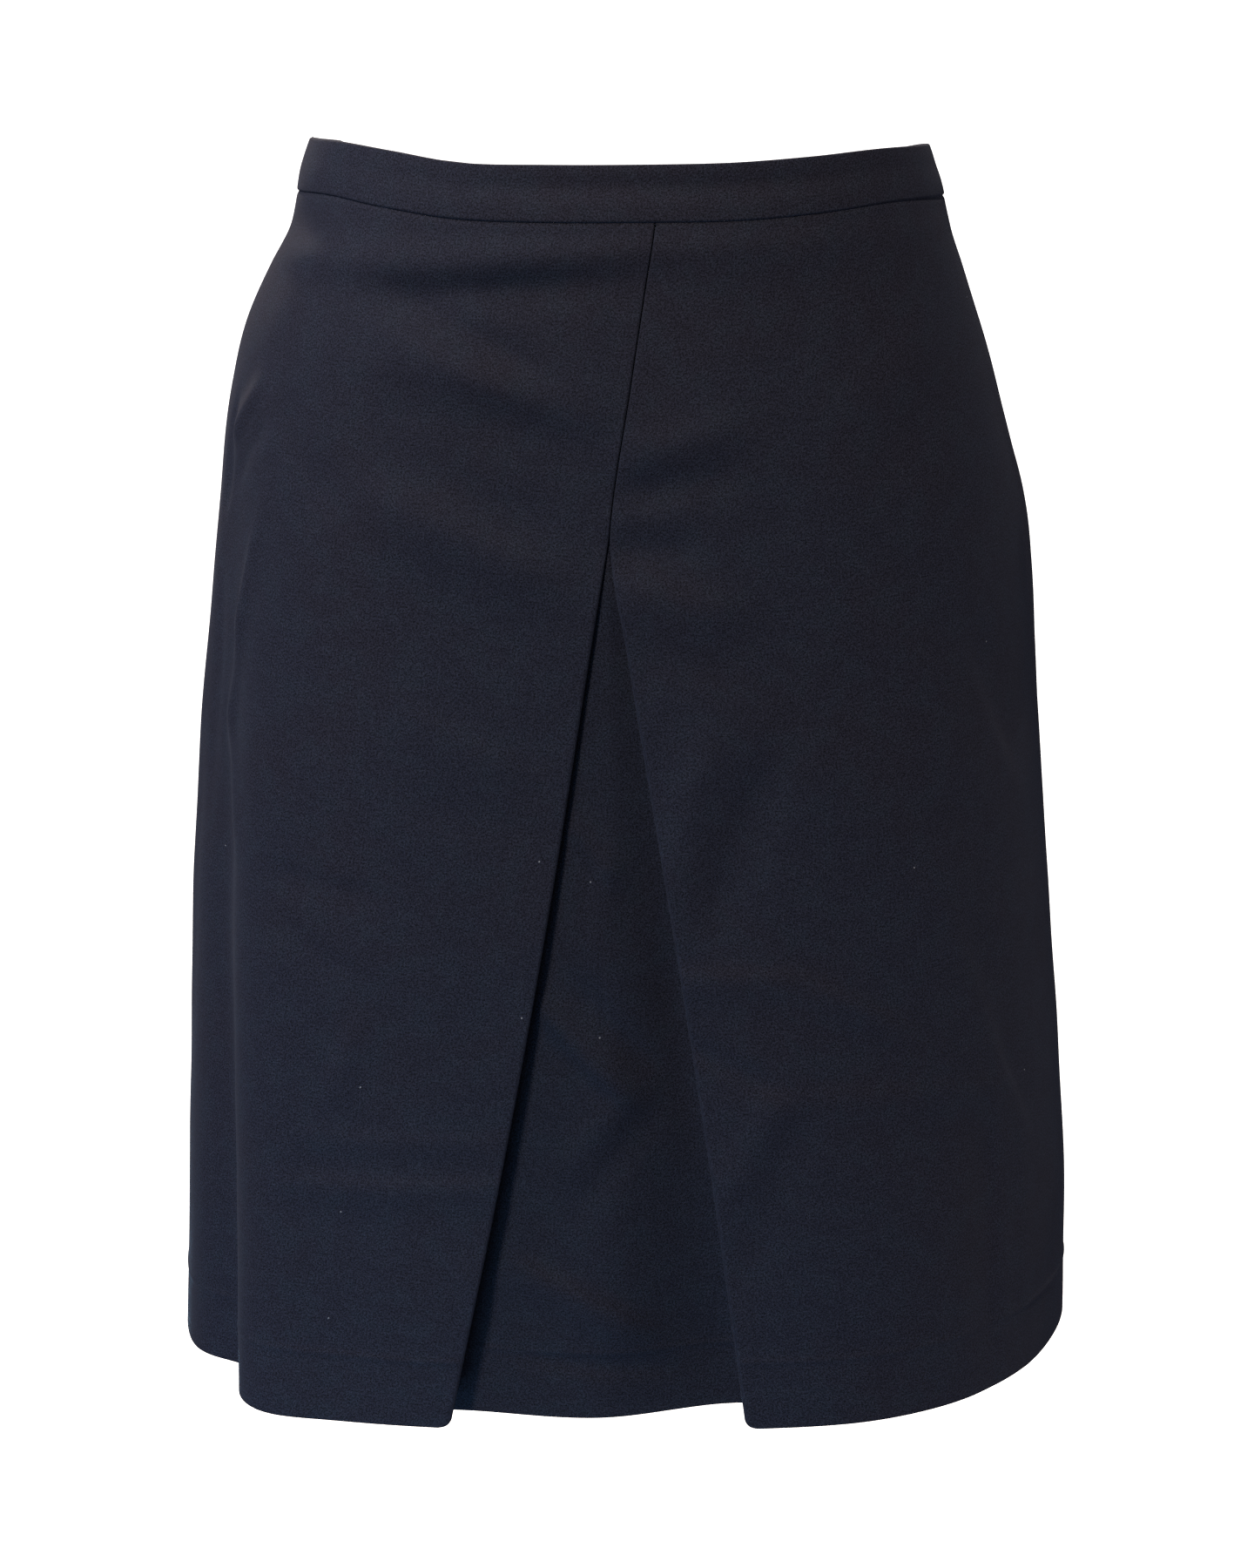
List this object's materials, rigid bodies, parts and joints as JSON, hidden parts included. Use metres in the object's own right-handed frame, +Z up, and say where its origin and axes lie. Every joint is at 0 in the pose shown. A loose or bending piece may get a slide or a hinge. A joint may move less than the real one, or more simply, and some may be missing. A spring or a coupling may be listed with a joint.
{
  "type": "a-line skirt",
  "caption": "Knee-length A-line skirt in worn form: shaped waistband, centre front seam opening into an inverted pleat, concealed back zip.",
  "frame": {"origin": "middle of the waist, level with the top edge of the waistband at the centre front", "axes": "+Z up along the wearer, -Y to the wearer's front, +X to the wearer's left"},
  "size_m": [0.4292, 0.2976, 0.5634],
  "materials": {
    "twill": "dark navy fine twill, matt with a faint sheen",
    "zip_tape": "dark woven tape and nylon coil",
    "zip_metal": "dark navy enamel on metal, satin"
  },
  "bodies": {
    "skirt": {"waistband_front": "twill", "waistband_back_left": "twill", "waistband_back_right": "twill", "front_left": "twill", "front_right": "twill", "pleat_underlay": "twill", "back_left": "twill", "back_right": "twill", "zip_tape_left": "zip_tape", "zip_tape_right": "zip_tape", "zip_coil": "zip_tape", "zip_slider": "zip_metal", "zip_stop": "zip_metal"},
    "pull": {"zip_pull": "zip_metal"}
  },
  "joints": [
    {"name": "pull_hinge", "type": "hinge", "parent": "skirt", "child": "pull", "pos_m": [0, 0.10595, -0.01993], "axis": [1, 0, 0], "range_deg": [0, 150]}
  ]
}
